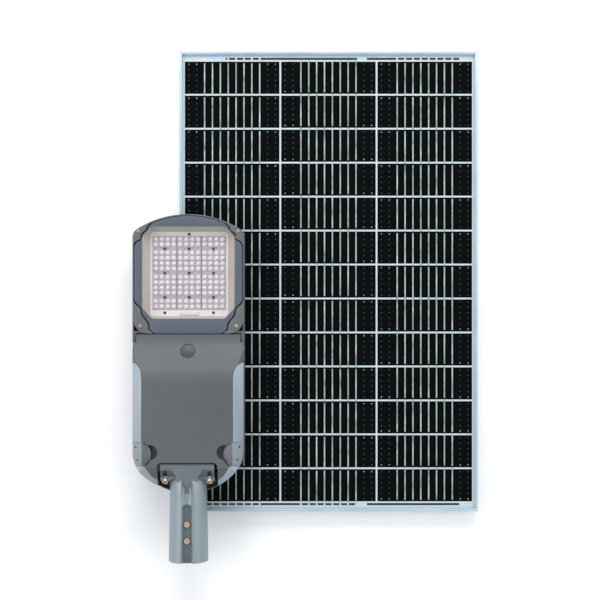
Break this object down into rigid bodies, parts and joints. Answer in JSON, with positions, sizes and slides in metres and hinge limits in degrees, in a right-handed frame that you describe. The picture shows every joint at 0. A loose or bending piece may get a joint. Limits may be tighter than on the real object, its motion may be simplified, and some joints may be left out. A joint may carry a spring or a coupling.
{
  "type": "solar street lamp",
  "caption": "Solar street lamp: a framed photovoltaic panel and its flat LED lamp head with a hinged gear cover, side latches and a tilting pole spigot.",
  "frame": {"origin": "centre of the panel's four mounting holes, on the back plane of its frame", "axes": "+Z out of the panel's glass and the lamp's light side, +Y along the panel away from the pole spigot, +X to the right seen from the light side"},
  "size_m": [0.7555, 1.112, 0.123],
  "materials": {
    "frame_metal": "satin anodised",
    "key_metal": "raw",
    "panel_glass": "textured tempered",
    "cell": "silicon behind glass",
    "ribbon": "tinned",
    "backsheet": "matte",
    "black_plastic": "matte",
    "terminal_metal": "plated",
    "housing_paint": "powder coat",
    "silver_paint": "powder coat",
    "cover_paint": "powder coat",
    "bezel_paint": "powder coat",
    "clamp_paint": "powder coat",
    "tray_plastic": "white reflective",
    "board": "white solder mask",
    "led": "phosphor",
    "lens": "clear moulded",
    "window_glass": "tempered",
    "rubber_black": "matte",
    "screw_steel": "passivated",
    "screw_dark": "dark passivated",
    "plain_steel": "plated",
    "battery_wrap": "moulded",
    "cell_can": "sleeved",
    "controller": "anodised",
    "ivory_plastic": "matte"
  },
  "bodies": {
    "panel": {"panel_rail_left": "frame_metal", "panel_rail_right": "frame_metal", "panel_rail_top": "frame_metal", "panel_rail_bottom": "frame_metal", "corner_keys": "key_metal", "panel_glass": "panel_glass", "solar_cells": "cell", "cell_ribbons": "ribbon", "bus_ribbons": "ribbon", "backsheet": "backsheet", "junction_box": "black_plastic", "junction_box_lid": "black_plastic", "junction_terminals": "terminal_metal", "bypass_diodes": "plain_steel", "junction_glands": "black_plastic"},
    "gear_cover": {"gear_cover": "cover_paint", "plug_seal": "rubber_black"},
    "sensor_plug": {"sensor_plug": "black_plastic"},
    "latch_left": {"latch_left": "silver_paint"},
    "latch_right": {"latch_right": "silver_paint"},
    "spigot": {"spigot": "silver_paint", "pole_screws": "screw_steel"},
    "lamp": {"upper_housing": "housing_paint", "gear_frame": "silver_paint", "frame_screws": "screw_steel", "led_board": "board", "leds": "led", "lens_plates": "lens", "lens_screws": "screw_dark", "reflector_tray": "tray_plastic", "lead_cover": "board", "window_gasket": "rubber_black", "window_glass": "window_glass", "bezel": "bezel_paint", "corner_clamps": "clamp_paint", "corner_screws": "screw_steel", "cover_gasket": "rubber_black", "gear_tray": "plain_steel", "battery_case": "battery_wrap", "battery_cells": "cell_can", "battery_strap": "plain_steel", "charge_controller": "controller", "terminal_block": "ivory_plastic", "breather": "black_plastic", "hinge_pins": "plain_steel", "latch_pins": "plain_steel", "tilt_screws": "screw_steel", "tilt_washers": "plain_steel"}
  },
  "joints": [
    {"name": "lamp_lift", "type": "slide", "parent": "panel", "child": "lamp", "axis": [0, 0, 1], "range_m": [0, 0.3]},
    {"name": "cover_hinge", "type": "hinge", "parent": "lamp", "child": "gear_cover", "pos_m": [-0.3045, -0.12, 0.082], "axis": [-1, 0, 0], "range_deg": [0, 70]},
    {"name": "latch_left_pivot", "type": "hinge", "parent": "lamp", "child": "latch_left", "pos_m": [-0.4085, -0.372, 0.096], "axis": [0, -1, 0], "range_deg": [0, 40]},
    {"name": "latch_right_pivot", "type": "hinge", "parent": "lamp", "child": "latch_right", "pos_m": [-0.2005, -0.372, 0.096], "axis": [0, 1, 0], "range_deg": [0, 40]},
    {"name": "plug_turn", "type": "hinge", "parent": "gear_cover", "child": "sensor_plug", "pos_m": [-0.3045, -0.151, 0.09658], "axis": [0, 0.3535, 0.9354], "range_deg": [0, 90]},
    {"name": "spigot_tilt", "type": "hinge", "parent": "lamp", "child": "spigot", "pos_m": [-0.3045, -0.4, 0.081], "axis": [-1, 0, 0], "range_deg": [-5, 15]}
  ]
}
